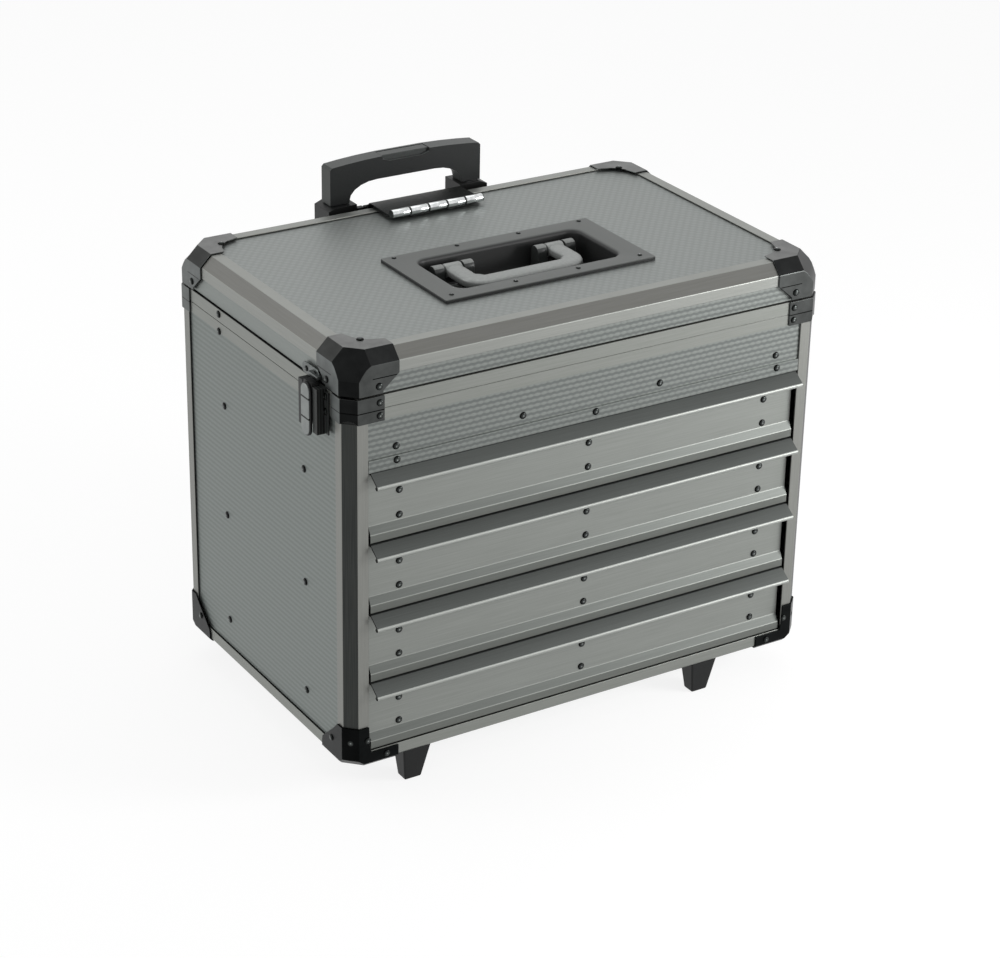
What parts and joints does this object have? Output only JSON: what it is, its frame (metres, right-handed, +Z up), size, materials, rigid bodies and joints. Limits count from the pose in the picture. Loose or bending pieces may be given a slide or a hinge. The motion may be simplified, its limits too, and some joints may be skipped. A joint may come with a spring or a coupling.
{
  "type": "tool trolley case",
  "caption": "Rolling aluminium tool case with a lidded top compartment, front drawers, a folding carry handle and a telescopic trolley handle.",
  "frame": {"origin": "centre of the bounding box on the floor under the feet and wheels", "axes": "+X to the case's right as seen from its drawers, +Y from the drawers to the back, +Z up"},
  "size_m": [0.504, 0.3844, 0.4528],
  "materials": {
    "extrusion": "satin anodised",
    "embossed_sheet": "fine embossed",
    "ribbed_sheet": "fine ribbed",
    "inner_sheet": "plain",
    "drawer_front": "satin",
    "corner_cap": "dark gunmetal, semi-gloss",
    "black_plastic": "moulded black",
    "handle_metal": "satin",
    "latch_metal": "zinc plated",
    "hinge_plate": "dark polished",
    "chrome": "polished",
    "tube": "satin",
    "tyre": "matte"
  },
  "bodies": {
    "case": {"body_rim_frame": "extrusion", "bottom_frame": "extrusion", "corner_post_front_left": "extrusion", "corner_post_front_right": "extrusion", "corner_post_rear_left": "extrusion", "corner_post_rear_right": "extrusion", "front_header_panel": "embossed_sheet", "left_side_panel": "ribbed_sheet", "right_side_panel": "ribbed_sheet", "rear_panel": "ribbed_sheet", "bottom_panel": "inner_sheet", "compartment_floor": "inner_sheet", "bottom_corner_cap_front_left": "corner_cap", "bottom_corner_cap_front_right": "corner_cap", "bottom_corner_cap_rear_left": "corner_cap", "bottom_corner_cap_rear_right": "corner_cap", "rim_corner_clip_front_left": "corner_cap", "rim_corner_clip_front_right": "corner_cap", "rim_corner_clip_rear_left": "corner_cap", "rim_corner_clip_rear_right": "corner_cap", "trolley_cross_bracket": "black_plastic", "front_foot_left": "black_plastic", "front_foot_right": "black_plastic", "wheel_housing_left": "black_plastic", "wheel_housing_right": "black_plastic", "latch_base_left": "black_plastic", "latch_base_right": "black_plastic", "drawer_runner_rack_left": "latch_metal", "drawer_runner_rack_right": "latch_metal", "trolley_outer_tube_left": "tube", "trolley_outer_tube_right": "tube"},
    "lid": {"lid_frame": "extrusion", "lid_skirt": "embossed_sheet", "lid_top_panel": "embossed_sheet", "handle_tray": "black_plastic", "latch_strike_left": "latch_metal", "latch_strike_right": "latch_metal", "lid_hinge_leaf": "chrome", "lid_corner_front_left": "corner_cap", "lid_corner_front_right": "corner_cap", "lid_corner_rear_left": "corner_cap", "lid_corner_rear_right": "corner_cap"},
    "link": {"hinge_link_plate": "hinge_plate"},
    "handle": {"carry_handle": "handle_metal"},
    "latch_left": {"latch_lever_left": "latch_metal"},
    "latch_right": {"latch_lever_right": "latch_metal"},
    "trolley": {"trolley_inner_tube_left": "tube", "trolley_inner_tube_right": "tube", "trolley_grip": "black_plastic"},
    "button": {"release_button": "black_plastic"},
    "wheel_l": {"wheel_left": "tyre"},
    "wheel_r": {"wheel_right": "tyre"},
    "drawer_1": {"drawer_front_1": "drawer_front", "drawer_tray_1": "inner_sheet"},
    "drawer_2": {"drawer_front_2": "drawer_front", "drawer_tray_2": "inner_sheet"},
    "drawer_3": {"drawer_front_3": "drawer_front", "drawer_tray_3": "inner_sheet"},
    "drawer_4": {"drawer_front_4": "drawer_front", "drawer_tray_4": "inner_sheet"}
  },
  "joints": [
    {"name": "lid_link", "type": "hinge", "parent": "case", "child": "link", "pos_m": [0, 0.13375, 0.408], "axis": [-1, 0, 0], "range_deg": [0, 75]},
    {"name": "lid_knuckle", "type": "hinge", "parent": "link", "child": "lid", "pos_m": [0, 0.08425, 0.418], "axis": [-1, 0, 0], "range_deg": [0, 15]},
    {"name": "carry_handle_fold", "type": "hinge", "parent": "lid", "child": "handle", "pos_m": [0, -0.031, 0.405], "axis": [-1, 0, 0], "range_deg": [0, 90]},
    {"name": "latch_left_lift", "type": "hinge", "parent": "case", "child": "latch_left", "pos_m": [-0.2465, -0.13075, 0.3735], "axis": [0, 1, 0], "range_deg": [0, 90]},
    {"name": "latch_right_lift", "type": "hinge", "parent": "case", "child": "latch_right", "pos_m": [0.2465, -0.13075, 0.3735], "axis": [0, -1, 0], "range_deg": [0, 90]},
    {"name": "trolley_slide", "type": "slide", "parent": "case", "child": "trolley", "axis": [0, 0, 1], "range_m": [0, 0.31]},
    {"name": "button_press", "type": "slide", "parent": "trolley", "child": "button", "axis": [0, 0, -1], "range_m": [0, 0.0045], "stiffness_N_per_m": 300, "springref_m": -0.001},
    {"name": "wheel_left_roll", "type": "hinge", "parent": "case", "child": "wheel_l", "pos_m": [-0.17, 0.16425, 0.028], "axis": [1, 0, 0], "continuous": true},
    {"name": "wheel_right_roll", "type": "hinge", "parent": "case", "child": "wheel_r", "pos_m": [0.17, 0.16425, 0.028], "axis": [1, 0, 0], "continuous": true},
    {"name": "drawer_1_slide", "type": "slide", "parent": "case", "child": "drawer_1", "axis": [0, -1, 0], "range_m": [0, 0.24]},
    {"name": "drawer_2_slide", "type": "slide", "parent": "case", "child": "drawer_2", "axis": [0, -1, 0], "range_m": [0, 0.24]},
    {"name": "drawer_3_slide", "type": "slide", "parent": "case", "child": "drawer_3", "axis": [0, -1, 0], "range_m": [0, 0.24]},
    {"name": "drawer_4_slide", "type": "slide", "parent": "case", "child": "drawer_4", "axis": [0, -1, 0], "range_m": [0, 0.24]}
  ],
  "couplings": [
    {"joint": "lid_knuckle", "follows": "lid_link", "ratio": 0.2}
  ]
}
